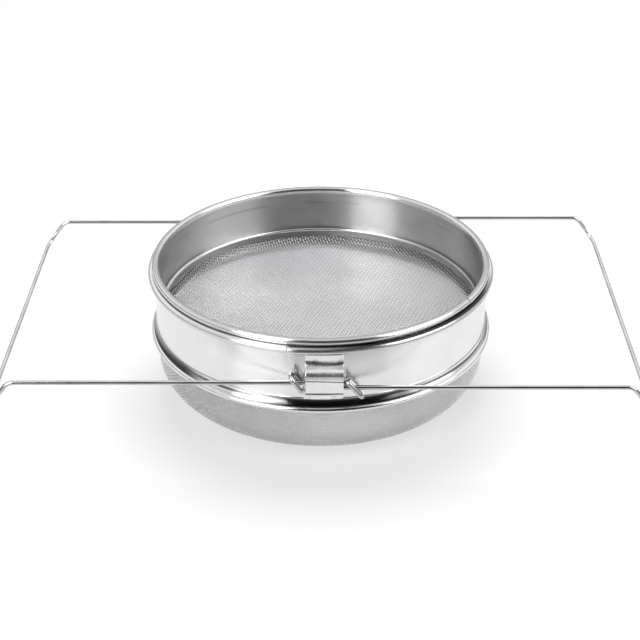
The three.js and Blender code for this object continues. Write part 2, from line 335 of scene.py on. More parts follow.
@dataclass(frozen=True, kw_only=True)
class RolledSheet(Finish):
    """Sheet of a hoop: grain round its wall, a bright rim, painted shade in its folds, on the rim's crown
    and in the seam's gap, and a polished foot painted dark as a reflection.
    """

    rim_from: float
    seam_degrees: float
    folds: tuple[Fold, ...]
    roughness: float = 0.2
    outside_from: float = 0.0
    outside_soft: float = 0.1
    outside_bright: Place = steel(0.8)
    rim_soft: float = 0.8
    rim_bright: Place = steel(0.72)
    rim_roughness: float = 0.22
    rim_smudge: float = 0.05
    rim_polish: float = 0.7
    seam_half: float = 0.8
    seam_core: float = 0.5
    seam_side: float = 10.0
    seam_roughness: float = 0.45
    # A strip along the seam on the rim is painted dark, as painted shade in its gap.
    gap_half: float = 0.35
    gap_share: float = 0.75
    foot_below: float = 0.0
    foot_soft: float = 0.3
    # The foot is painted dark as a reflection, except in the listed stretches, where it is painted lit
    # with one line of painted shade.
    foot_painted_dark: Place = steel(0.13, 0.002)
    foot_roughness: float = 0.16
    foot_painted_lit: tuple[Flat, ...] = ()
    foot_fade: float = 7.0
    foot_fold: Fold = Fold(49.0, 0.7, 0.4, 0.8)
    # The top of the rim is painted shaded on one side of the seam, where the upper rim hangs over it, with
    # one line of painted shade.
    crown_from: float = 0.0
    crown_soft: float = 0.2
    crown_fold: Fold = Fold(88.4, 0.35, 0.3, 0.6)
    crown_degrees: float = 86.0
    crown_edge: float = 1.0
    crown_fade: float = 12.0
    crown_grow: float = 26.0
    crown_start: float = 0.3
    # The colour that the painted shade darkens to.
    dark: Place = steel(0.04, 0.002)
    grain_noise: Noise = ((9.0, 9.0, 2600.0), 3.0)
    grain_depth: float = 0.003
    grain_rough: float = 0.07
    smudge_noise: Noise = ((26.0, 26.0, 40.0), 3.0)
    smudge_rough: float = 0.06
    smudge_break: Flat = (0.42, 0.58)

    def painted_fold_shade(self, on: Surface) -> Value:
        """Return the painted shade in the folds, where smudges don't break it up."""
        broken = on.smudge.rise(*self.smudge_break)
        return sum(fold.line(on.z) * (1.0 - fold.broken * broken) for fold in self.folds)

    def painted_lit_foot(self, on: Surface) -> Value:
        """Return 1 in the stretches of the foot that are painted lit instead of painted dark, and 0
        elsewhere.
        """
        turn = on.turn()
        return sum(turn.window(*radians(*stretch, self.foot_fade)) for stretch in self.foot_painted_lit)

    def crown(self, on: Surface) -> Value:
        """Work out the painted shade on the top of the rim, on one side of the seam, where the upper rim
        hangs over it.

        Args:
            on: The surface.

        Returns:
            0 on the bright rim, more where its crown is painted shaded.
        """
        turn = on.turn()
        first, length, edge = radians(self.seam_degrees, self.crown_degrees, self.crown_edge)
        fade, grow = radians(self.crown_fade, self.crown_grow)
        last = first + length
        sector = turn.rise(first, first + edge) * (1.0 - turn.rise(last - fade, last + fade))
        share = self.crown_start + turn.rise(first, first + grow) * (1.0 - self.crown_start)
        return (on.z.step(self.crown_from, self.crown_soft) * share + self.crown_fold.line(on.z)) * sector

    def seam(self, on: Surface, half: float) -> Value:
        """Work out a strip along the butt seam.

        Args:
            on: The surface.
            half: Half the strip's width.

        Returns:
            1 on the strip and 0 elsewhere.
        """
        turn = math.radians(self.seam_degrees)
        across = abs(on.y * math.cos(turn) - on.x * math.sin(turn))
        facing = (on.x * math.cos(turn) + on.y * math.sin(turn)).rise(0.0, self.seam_side * MM)
        return (1.0 - across.rise(half * MM * self.seam_core, half * MM)) * facing

    def colour(self, on: Surface) -> Socket:
        """Work out the colour of the wall.

        Args:
            on: The surface.

        Returns:
            The colour, whose inside may be painted darker than its outside, as painted shade.
        """
        inside = super().colour(on)
        if not self.outside_from:
            return inside
        outside = on.radius().rise(self.outside_from * MM, (self.outside_from + self.outside_soft) * MM)
        return on.mix(outside, inside, self.outside_bright)

    def sockets(self, on: Surface) -> dict:
        """Work out the inputs of the shader.

        Args:
            on: The surface.

        Returns:
            The inputs by name.
        """
        rim = on.z.step(self.rim_from, self.rim_soft)
        foot = 1.0 - on.z.step(self.foot_below, self.foot_soft)
        # Painted shade: lines in the folds, the foot's lit stretches, the rim's crown and the seam's gap.
        shade = self.painted_fold_shade(on)
        # In the foot's lit stretches the painted dark reflection gives way to one line of painted shade.
        if self.foot_painted_lit:
            lit = self.painted_lit_foot(on)
            shade = shade * (1.0 - lit * foot) + self.foot_fold.line(on.z) * lit
            foot = foot * (1.0 - lit)
        if self.crown_from:
            shade = shade + self.crown(on)
        # The seam's gap on the rim is painted shade.
        shade = shade + self.seam(on, self.gap_half) * rim * self.gap_share
        colour = on.mix(rim, self.colour(on), self.rim_bright)
        colour = on.mix(foot, colour, self.foot_painted_dark)
        wall = self.rough(on)
        wall = wall + (self.foot_roughness - wall) * foot
        rolled = self.rim_roughness + on.smudge.sway(self.rim_smudge)
        rolled = rolled + self.seam(on, self.seam_half) * (self.seam_roughness - self.rim_roughness)
        return {
            "Base Color": on.mix(on.math("MINIMUM", shade, 1.0), colour, self.dark),
            "Roughness": wall + (rolled - wall) * rim,
            "Normal": on.bump(on.grain * (1.0 - rim * self.rim_polish) * (1.0 - foot), self.grain_depth),
            "Anisotropic": 1.0,
            "Anisotropic Rotation": QUARTER_TURN,
        }


@dataclass(frozen=True, kw_only=True)
class TurnedRing(Finish):
    """Ring with a bright face that is a little scuffed, painted shade below a height and a stretch painted
    dim over a reflection.
    """

    bright: Place = steel(0.78)
    dull: Place = steel(0.7, 0.01)
    roughness: float = 0.2
    # Below a height the ring is painted shaded.
    shade_below: float = 0.0
    shade_soft: float = 0.3
    shaded: Place = steel(0.27)
    # One stretch round the ring is painted dim, as painted shade over a reflection.
    dimmed_turns: Flat = (0.0, 0.0)
    dimmed_fade: float = 16.0
    dimmed_share: float = 0.75
    grain_noise: Noise = ((12.0, 12.0, 1800.0), 2.0)
    grain_rough: float = 0.12
    smudge_noise: Noise = ((34.0, 34.0, 60.0), 3.0)
    smudge_rough: float = 0.1
    anisotropic: float = 0.6

    def sockets(self, on: Surface) -> dict:
        """Work out the inputs of the shader.

        Args:
            on: The surface.

        Returns:
            The inputs by name.
        """
        colour = self.colour(on)
        if any(self.dimmed_turns):
            dimmed_turns = on.turn().window(*radians(*self.dimmed_turns, self.dimmed_fade))
            colour = on.mix(dimmed_turns * self.dimmed_share, colour, self.shaded)
        below = 1.0 - on.z.step(self.shade_below, self.shade_soft)
        return {
            "Base Color": on.mix(below, colour, self.shaded),
            "Roughness": self.rough(on),
            "Anisotropic": self.anisotropic,
            "Anisotropic Rotation": QUARTER_TURN,
        }


@dataclass(frozen=True, kw_only=True)
class ClothWire(Finish):
    """Woven wire, dull in clouds and flecks, with painted shade where the cloth turns up at its edge."""

    edge_radius: float
    edge_shade: Place = steel(0.32, 0.0)
    edge_soft: float = 0.7
    patches: Flat = (0.3, 0.7)
    patch_share: float = 0.6
    flecks: Flat = (0.35, 0.65)
    fleck_share: float = 0.4
    grain_noise: Noise = ((420.0, 420.0, 420.0), 2.0)
    grain_rough: float = 0.25
    smudge_noise: Noise = ((30.0, 30.0, 30.0), 4.0)

    def colour(self, on: Surface) -> Socket:
        """Return the colour of the wire away from the edge."""
        clouds = on.smudge.rise(*self.patches) * self.patch_share
        return on.mix(clouds + on.grain.rise(*self.flecks) * self.fleck_share, self.dull, self.bright)

    def sockets(self, on: Surface) -> dict:
        """Return the inputs of the shader by name."""
        # Where the cloth turns up at its edge it is painted shaded.
        edge = on.radius().step(self.edge_radius, self.edge_soft)
        return {"Base Color": on.mix(edge, self.colour(on), self.edge_shade), "Roughness": self.rough(on)}


@dataclass(frozen=True, kw_only=True)
class DrawnWire(Finish):
    """Hard drawn wire: dark bright steel with fine die lines along its length."""

    name: str = "drawn_wire"
    bright: Place = steel(0.6, 0.01)
    dull: Place = steel(0.48, 0.01)
    roughness: float = 0.14
    patches: Flat = (0.3, 0.7)
    grain_noise: Noise = ((14.0, 2200.0, 2200.0), 2.0)
    grain_rough: float = 0.14
    grain_depth: float = 0.008
    smudge_noise: Noise = ((45.0, 45.0, 45.0), 3.0)
    smudge_rough: float = 0.08

    def sockets(self, on: Surface) -> dict:
        """Return the inputs of the shader by name."""
        return {**super().sockets(on), "Normal": on.bump(on.grain, self.grain_depth)}


@dataclass(frozen=True, kw_only=True)
class StrapSheet(Finish):
    """Folded strap: bright sheet with grain along its width, painted shade in its bends, dull at its spot
    welds.
    """

    bright: Place = steel(0.83)
    dull: Place = steel(0.76, 0.01)
    roughness: float = 0.27
    weld_places: tuple[Place, ...]
    weld_radius: float
    weld_core: float = 0.3
    weld_share: float = 0.35
    weld_rough: float = 0.06
    tinted: Place = (0.5, 0.49, 0.48)
    # Lines of painted shade in the bottom fold, along the wavy cove under the top tab and along the
    # slanted crease.
    fold: Fold = Fold(55.8, 1.1, 0.3, 0.9)
    cove: Fold = Fold(79.4, 1.1, 0.5, 0.85)
    cove_wave: float = 3.0
    cove_fade: Flat = (-8.0, 14.0)
    cove_thin: float = 0.6
    crease: Fold = Fold(69.2, 0.25, 0.25, 0.5)
    crease_slant: float = 0.035
    # The colour that the painted shade darkens to.
    dark: Place = steel(0.05, 0.002)
    grain_noise: Noise = ((60.0, 1500.0, 1500.0), 2.0)
    grain_rough: float = 0.12
    grain_depth: float = 0.004
    smudge_noise: Noise = ((90.0, 90.0, 90.0), 3.0)
    smudge_rough: float = 0.08

    def welds(self, on: Surface) -> Value:
        """Work out the spot welds.

        Args:
            on: The surface.

        Returns:
            1 in the middle of a weld and 0 away from it.
        """
        weld = 0.0
        for spot in self.weld_places:
            ends = {0: on.place, 1: tuple(v * MM for v in spot)}
            away = on.value("ShaderNodeVectorMath", {"operation": "DISTANCE"}, ends, "Value")
            weld = weld + (1.0 - away.rise(self.weld_radius * MM * self.weld_core, self.weld_radius * MM))
        return weld

    def bends(self, on: Surface) -> Value:
        """Work out the painted shade in the bends.

        Args:
            on: The surface.

        Returns:
            0 on the flat sheet, more in a bend.
        """
        thin = on.x.rise(*(x * MM for x in self.cove_fade)) * self.cove_thin
        cove = self.cove.line(on.z + on.smudge.sway(self.cove_wave * MM)) * (1.0 - thin)
        return self.fold.line(on.z) + cove + self.crease.line(on.z + on.x * self.crease_slant)

    def sockets(self, on: Surface) -> dict:
        """Work out the inputs of the shader.

        Args:
            on: The surface.

        Returns:
            The inputs by name.
        """
        weld = self.welds(on)
        colour = on.mix(weld * self.weld_share, self.colour(on), self.tinted)
        return {
            # The bends are painted shaded.
            "Base Color": on.mix(self.bends(on), colour, self.dark),
            "Roughness": self.rough(on) + weld * self.weld_rough,
            "Normal": on.bump(on.grain, self.grain_depth),
        }


# Modelling moves


class Bench:
    """Modelling moves that every piece shares. A piece is drawn in place, its object at the origin."""

    @staticmethod
    def pick(piece: Piece) -> None:
        """Select one piece alone and make it active.

        Args:
            piece: The piece.
        """
        bpy.ops.object.select_all(action="DESELECT")
        piece.select_set(True)
        bpy.context.view_layer.objects.active = piece

    @staticmethod
    def start(name: str) -> Piece:
        """Add a small plane, melt it to one point at the origin and stay in edit mode.

        Args:
            name: Name of the piece.

        Returns:
            The piece, with its one point selected.
        """
        bpy.ops.object.select_all(action="DESELECT")
        bpy.ops.mesh.primitive_plane_add(size=MM)
        piece = bpy.context.object
        piece.name = name
        piece.data.name = name
        bpy.ops.object.mode_set(mode="EDIT")
        bpy.ops.mesh.select_mode(type="VERT")
        bpy.ops.mesh.select_all(action="SELECT")
        bpy.ops.mesh.merge(type="CENTER")
        return piece

    @staticmethod
    def draw(places: list[Place]) -> None:
        """Draw a line of edges by moving the loose point and extruding it.

        Args:
            places: The points of the line in order.
        """
        before = Vector(ORIGIN)
        for index, place in enumerate(places):
            here = Vector(place) * MM
            if index == 0:
                bpy.ops.transform.translate(value=here - before)
            else:
                bpy.ops.mesh.extrude_region_move(TRANSFORM_OT_translate={"value": here - before})
            before = here

    @staticmethod
    def tidy() -> None:
        """Merge doubles and turn the faces outward."""
        bpy.ops.mesh.select_all(action="SELECT")
        bpy.ops.mesh.remove_doubles(threshold=MERGE_DISTANCE)
        bpy.ops.mesh.normals_make_consistent(inside=False)

    @staticmethod
    def mark(piece: Piece, mode: str, part: str, chosen: np.ndarray) -> None:
        """Select some points or faces of a piece in code, and stay in edit mode.

        Args:
            piece: The piece, in object mode.
            mode: Blender's select mode, VERT or FACE.
            part: Name of the mesh's list, vertices or polygons.
            chosen: Which of them are selected.
        """
        bpy.ops.object.mode_set(mode="EDIT")
        bpy.ops.mesh.select_mode(type=mode)
        bpy.ops.mesh.select_all(action="DESELECT")
        bpy.ops.object.mode_set(mode="OBJECT")
        getattr(piece.data, part).foreach_set("select", chosen)
        bpy.ops.object.mode_set(mode="EDIT")

    @staticmethod
    def finish(piece: Piece, kind: str, settings: dict) -> None:
        """Add one modifier and apply it.

        Args:
            piece: The piece.
            kind: Blender's name of the modifier type.
            settings: The modifier's properties.
        """
        modifier = piece.modifiers.new(kind, kind)
        for key, value in settings.items():
            setattr(modifier, key, value)
        bpy.context.view_layer.objects.active = piece
        bpy.ops.object.modifier_apply(modifier=modifier.name)

    @staticmethod
    def thicken(piece: Piece, sheet: float, offset: float) -> None:
        """Give a drawn sheet its thickness, on both sides (offset 0) or outside (offset 1)."""
        settings = {"thickness": sheet * MM, "offset": offset, "use_even_offset": True}
        Bench.finish(piece, "SOLIDIFY", settings)

    @staticmethod
    def smooth(piece: Piece, degrees: float) -> None:
        """Shade a piece smooth up to an angle between faces."""
        Bench.pick(piece)
        bpy.ops.object.shade_smooth_by_angle(angle=math.radians(degrees))

    @staticmethod
    def points(piece: Piece) -> np.ndarray:
        """Read a piece's points.

        Args:
            piece: The piece.

        Returns:
            Their places in millimetres.
        """
        flat = np.empty(len(piece.data.vertices) * 3)
        piece.data.vertices.foreach_get("co", flat)
        return flat.reshape(-1, 3) / MM

    @staticmethod
    def put(piece: Piece, points: np.ndarray) -> None:
        """Move a piece's points to places in millimetres."""
        piece.data.vertices.foreach_set("co", (points * MM).ravel())
        piece.data.update()

    @staticmethod
    def half_turn(piece: Piece, name: str) -> Piece:
        """Copy a piece half a turn round the upright axis.

        Args:
            piece: The piece.
            name: Name of the copy.

        Returns:
            The copy, with a mesh of its own.
        """
        Bench.pick(piece)
        bpy.ops.object.duplicate(linked=False)
        copy = bpy.context.object
        copy.name = name
        copy.data.name = name
        bpy.ops.transform.rotate(value=math.pi, orient_axis="Z", center_override=ORIGIN)
        bpy.ops.object.transform_apply(location=True, rotation=True, scale=True)
        return copy

    @staticmethod
    def settle(
        piece: Piece, material: Material, body: Body, node: str, slot: str
    ) -> None:
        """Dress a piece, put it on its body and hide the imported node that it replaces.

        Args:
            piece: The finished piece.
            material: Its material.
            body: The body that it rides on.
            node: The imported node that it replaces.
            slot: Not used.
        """
        piece.data.materials.clear()
        piece.data.materials.append(material)
        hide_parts(node)
        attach(piece, body.value)
        triangles = sum(len(p.vertices) - 2 for p in piece.data.polygons)
        LOG.info("%s on %s: %d triangles", piece.name, body.value, triangles)


# Lines


def arc(centre: Flat, radius: float, start: float, end: float, steps: int) -> list[Flat]:
    """Return points of an arc from one angle to another, in degrees, ends included."""
    angles = np.radians(np.linspace(start, end, steps + 1))
    return [(centre[0] + radius * math.cos(a), centre[1] + radius * math.sin(a)) for a in angles]


@dataclass(frozen=True)
class Bend:
    """One corner of a path, the radius it is bent to and the steps of its arc."""

    at: Place
    radius: float = 0.0
    steps: int = 0


def rounded(bends: list[Bend]) -> list[Place]:
    """Round every corner of a path to its radius.

    Args:
        bends: The corners in order. The first and the last are its ends.

    Returns:
        The points of the rounded path.
    """
    path = [bends[0].at]
    for before, here, after in zip(bends, bends[1:], bends[2:]):
        if not here.steps:
            path.append(here.at)
            continue
        at = Vector(here.at)
        back = (Vector(before.at) - at).normalized()
        ahead = (Vector(after.at) - at).normalized()
        half = back.angle(ahead) / 2
        centre = at + (back + ahead).normalized() * (here.radius / math.sin(half))
        start = at + back * (here.radius / math.tan(half)) - centre
        end = at + ahead * (here.radius / math.tan(half)) - centre
        sweep = start.angle(end)
        for step in range(here.steps + 1):
            turn = sweep * step / here.steps
            spoke = start * math.sin(sweep - turn) + end * math.sin(turn)
            path.append(tuple(centre + spoke / math.sin(sweep)))
    path.append(bends[-1].at)
    return path


def divided(path: list[Place], longest: float) -> list[Place]:
    """Add points to a path.

    Args:
        path: The path's points.
        longest: Longest step that stays undivided.

    Returns:
        The same path with no step longer than that.
    """
    out = [path[0]]
    for start, end in zip(path, path[1:]):
        count = math.ceil(math.dist(start, end) / longest)
        out += [tuple(Vector(start).lerp(Vector(end), k / count)) for k in range(1, count + 1)]
    return out


def held(start: Flat, end: Flat, guard: float) -> list[Flat]:
    """Return a straight run with a guard point near each end, which keeps its shading flat.

    Args:
        start: Where the run starts.
        end: Where it ends.
        guard: How far the guard points are from the ends.

    Returns:
        The four points of the run.
    """
    part = guard / math.dist(start, end)
    return [
        (start[0] + (end[0] - start[0]) * t, start[1] + (end[1] - start[1]) * t)
        for t in (0.0, part, 1.0 - part, 1.0)
    ]


# Spun pieces


@dataclass(frozen=True)
class Rim:
    """Rolled rim of a hoop, drawn along the middle of its sheet."""

    centre_radius: float
    centre_z: float
    curl: float
    end_degrees: float = -118.0
    steps: int = 26
    bright_from: float = -1.5

    def line(self) -> list[Flat]:
        """Return the curl from the wall over the top to its free edge."""
        return arc((self.centre_radius, self.centre_z), self.curl, 180.0, self.end_degrees, self.steps)


@dataclass(frozen=True)
class Spun:
    """A line of radius and height turned about the upright axis."""

    line: list[Flat]
    sheet: float = 0.0
    start_degrees: float = 0.0
    seam_degrees: float = 0.25
    seam_rise: float = 4.0
    steps: int = 239

    def turned(self, name: str) -> Piece:
        """Draw the line and turn it, past its seam and then all the way round.

        Args:
            name: Name of the piece.

        Returns:
            The piece, still without thickness.
        """
        start, seam = radians(self.start_degrees, self.seam_degrees)
        piece = Bench.start(name)
        Bench.draw([(r * math.cos(start), r * math.sin(start), z) for r, z in self.line])
        bpy.ops.mesh.select_all(action="SELECT")
        for steps, angle in ((1, seam), (self.steps, math.tau - seam)):
            bpy.ops.mesh.spin(steps=steps, angle=angle, center=ORIGIN, axis=UPRIGHT)
        Bench.tidy()
        bpy.ops.object.mode_set(mode="OBJECT")
        return piece

    def open_seam(self, piece: Piece, above: float, shift: Flat, reach: float) -> None:
        """Move the sheet on one side of the butt seam a little, fading along the hoop.

        Args:
            piece: The turned line.
            above: Height above which the sheet moves.
            shift: How far it moves outward and up at the seam.
            reach: Degrees over which the move fades.
        """
        points = Bench.points(piece)
        angle = np.degrees(np.arctan2(points[:, 1], points[:, 0])) - self.start_degrees
        along = np.mod(angle - self.seam_degrees / 2, 360.0)
        fade = np.clip(1.0 - along / reach, 0.0, 1.0) ** 2
        fade *= np.clip((points[:, 2] - above) / self.seam_rise, 0.0, 1.0)
        radius = np.hypot(points[:, 0], points[:, 1])
        wider = (radius + shift[0] * fade) / radius
        points[:, 0] *= wider
        points[:, 1] *= wider
        points[:, 2] += shift[1] * fade
        Bench.put(piece, points)

    def close(self, piece: Piece) -> Piece:
        """Give a turned line its thickness and shade it smooth.

        Args:
            piece: The turned line.

        Returns:
            The same piece, finished.
        """
        if self.sheet:
            Bench.thicken(piece, self.sheet, 0.0)
        Bench.smooth(piece, SMOOTH_DEGREES)
        return piece


# Woven cloth


@dataclass
class WireCloth:
    """Plain woven wire pressed into a dish. Half of one layer is modelled, the rest copied."""

    name: str
    line: list[Flat]
    pitch: float
    wire: float
    turn_degrees: float
    finishes: dict[Lay, ClothWire]
    sides: int = 6
    slack: float = 1.08
    warp_share: float = 0.8
    map_name: str = "OFBake"
    map_fill: float = 0.92

    def __post_init__(self) -> None:
        """Work out the length along the dish and how far each wire rises at a crossing."""
        path = np.array(self.line)
        steps = np.hypot(*np.diff(path, axis=0).T)
        self.along = np.concatenate([[0.0], np.cumsum(steps)])
        self.reach = self.along[-1]
        self.rise = self.wire / 2 * self.slack
        slope = np.gradient(path, self.along, axis=0)
        slope /= np.hypot(slope[:, 0], slope[:, 1])[:, None]
        self.path = path
        self.normal = np.stack([-slope[:, 1], slope[:, 0]], axis=1)
        self.cells = math.ceil(self.reach / self.pitch / 2)
        self.half = self.cells * 2 * self.pitch

    def cell(self) -> Piece:
        """Model one wave of two neighbouring wires.

        Returns:
            The cell, at the start of the first two rows.
        """
        bpy.ops.object.select_all(action="DESELECT")
        bpy.ops.mesh.primitive_circle_add(
            vertices=self.sides,
            radius=self.wire / 2 * MM,
            fill_type="NOTHING",
            rotation=(0.0, math.pi / 2, 0.0),
        )
        piece = bpy.context.object
        bpy.ops.object.transform_apply(rotation=True)
        bpy.ops.object.mode_set(mode="EDIT")
        bpy.ops.mesh.select_all(action="SELECT")
        first = ((self.pitch / 2 - self.half) * MM, self.pitch / 2 * MM, self.rise * MM)
        bpy.ops.transform.translate(value=first)
        for fall in (-1.0, 1.0):
            step = (self.pitch * MM, 0.0, fall * 2 * self.rise * MM)
            bpy.ops.mesh.extrude_region_move(TRANSFORM_OT_translate={"value": step})
        bpy.ops.mesh.select_all(action="SELECT")
        beside = (-self.pitch * MM, self.pitch * MM, 0.0)
        bpy.ops.mesh.duplicate_move(TRANSFORM_OT_translate={"value": beside})
        bpy.ops.mesh.select_all(action="SELECT")
        # The open wave rises by more than its radius, so Blender takes its inner side for the outer one
        bpy.ops.mesh.normals_make_consistent(inside=True)
        bpy.ops.object.mode_set(mode="OBJECT")
        return piece

    def half_layer(self) -> Piece:
        """Repeat the cell over half a disc, flat, and give it its map.

        Returns:
            The flat half layer.
        """
        piece = self.cell()
        step = 2 * self.pitch * MM
        for count, offset in ((2 * self.cells, (step, 0.0, 0.0)), (self.cells, (0.0, step, 0.0))):
            settings = {
                "count": count,
                "use_relative_offset": False,
                "use_constant_offset": True,
                "constant_offset_displace": offset,
                "use_merge_vertices": True,
                "merge_threshold": MERGE_DISTANCE,
            }
            Bench.finish(piece, "ARRAY", settings)
        points = Bench.points(piece)
        Bench.mark(piece, "VERT", "vertices", np.hypot(points[:, 0], points[:, 1]) > self.reach)
        bpy.ops.mesh.delete(type="VERT")
        bpy.ops.object.mode_set(mode="OBJECT")
        self.unroll(piece)
        piece.data.shade_smooth()
        return piece

    def middles(self, points: np.ndarray) -> tuple[np.ndarray, np.ndarray]:
        """Find the wire that each point of a flat half layer is on.

        Args:
            points: The points.

        Returns:
            The row of each point's wire, and the height of its middle there.
        """
        ring = np.round((points[:, 0] + self.half) / self.pitch - 0.5)
        row = np.floor(points[:, 1] / self.pitch)
        return row, np.where((ring + row) % 2 == 0, self.rise, -self.rise)

    def unroll(self, piece: Piece) -> None:
        """Map each wire to a strip of its own, unrolled, so that no two faces share a place.

        Args:
            piece: The flat half layer.
        """
        points = Bench.points(piece)
        corners = np.empty(len(piece.data.loops), dtype=np.int32)
        piece.data.loops.foreach_get("vertex_index", corners)
        own = points[corners]
        row, middle = self.middles(own)
        around = np.arctan2(own[:, 2] - middle, own[:, 1] - (row + 0.5) * self.pitch)
        around = around.reshape(-1, QUAD)
        around = around[:, :1] + np.mod(around - around[:, :1] + math.pi, math.tau) - math.pi
        around -= math.tau * np.floor((around.mean(axis=1, keepdims=True) + math.pi) / math.tau)
        strip = (row + 0.5 + around.ravel() / math.tau * self.map_fill) * self.pitch
        places = np.stack([own[:, 0] / self.half * 0.5 + 0.5, strip / self.half], axis=1)
        piece.data.uv_layers.new(name=self.map_name).data.foreach_set("uv", places.ravel())

    def press(self, piece: Piece, lay: Lay, turned: bool) -> None:
        """Press a flat half layer into the dish.

        Args:
            piece: The half layer, still flat.
            lay: Which way its wires run.
            turned: Whether it is the half on the other side of the middle.
        """
        points = Bench.points(piece)
        if lay is Lay.WARP:
            row, middle = self.middles(points)
            beside = (row + 0.5) * self.pitch
            points[:, 1] = beside + (points[:, 1] - beside) * self.warp_share
            points[:, 2] = middle + (points[:, 2] - middle) * self.warp_share
        else:
            points = np.stack([points[:, 1], points[:, 0], -points[:, 2]], axis=1)
        angle = np.arctan2(points[:, 1], points[:, 0]) + math.radians(self.turn_degrees)
        if turned:
            angle += math.pi
        length = np.hypot(points[:, 0], points[:, 1])
        middle = [np.interp(length, self.along, self.path[:, k]) for k in range(2)]
        normal = [np.interp(length, self.along, self.normal[:, k]) for k in range(2)]
        radius = middle[0] + normal[0] * points[:, 2]
        height = middle[1] + normal[1] * points[:, 2]
        Bench.put(piece, np.stack([radius * np.cos(angle), radius * np.sin(angle), height], axis=1))

    def build(self, body: Body, node: str, slot: str) -> None:
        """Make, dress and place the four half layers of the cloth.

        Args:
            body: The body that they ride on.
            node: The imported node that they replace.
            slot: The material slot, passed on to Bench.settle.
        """
        flat = self.half_layer()
        for lay in Lay:
            material = self.finishes[lay].material()
            for turned, mark in ((False, "a"), (True, "b")):
                layer = flat.copy()
                layer.data = flat.data.copy()
                layer.name = f"{self.name}_{lay.value}_{mark}"
                layer.data.name = layer.name
                bpy.context.scene.collection.objects.link(layer)
                self.press(layer, lay, turned)
                Bench.settle(layer, material, body, node, slot)
        bpy.data.objects.remove(flat)


# Upper sieve


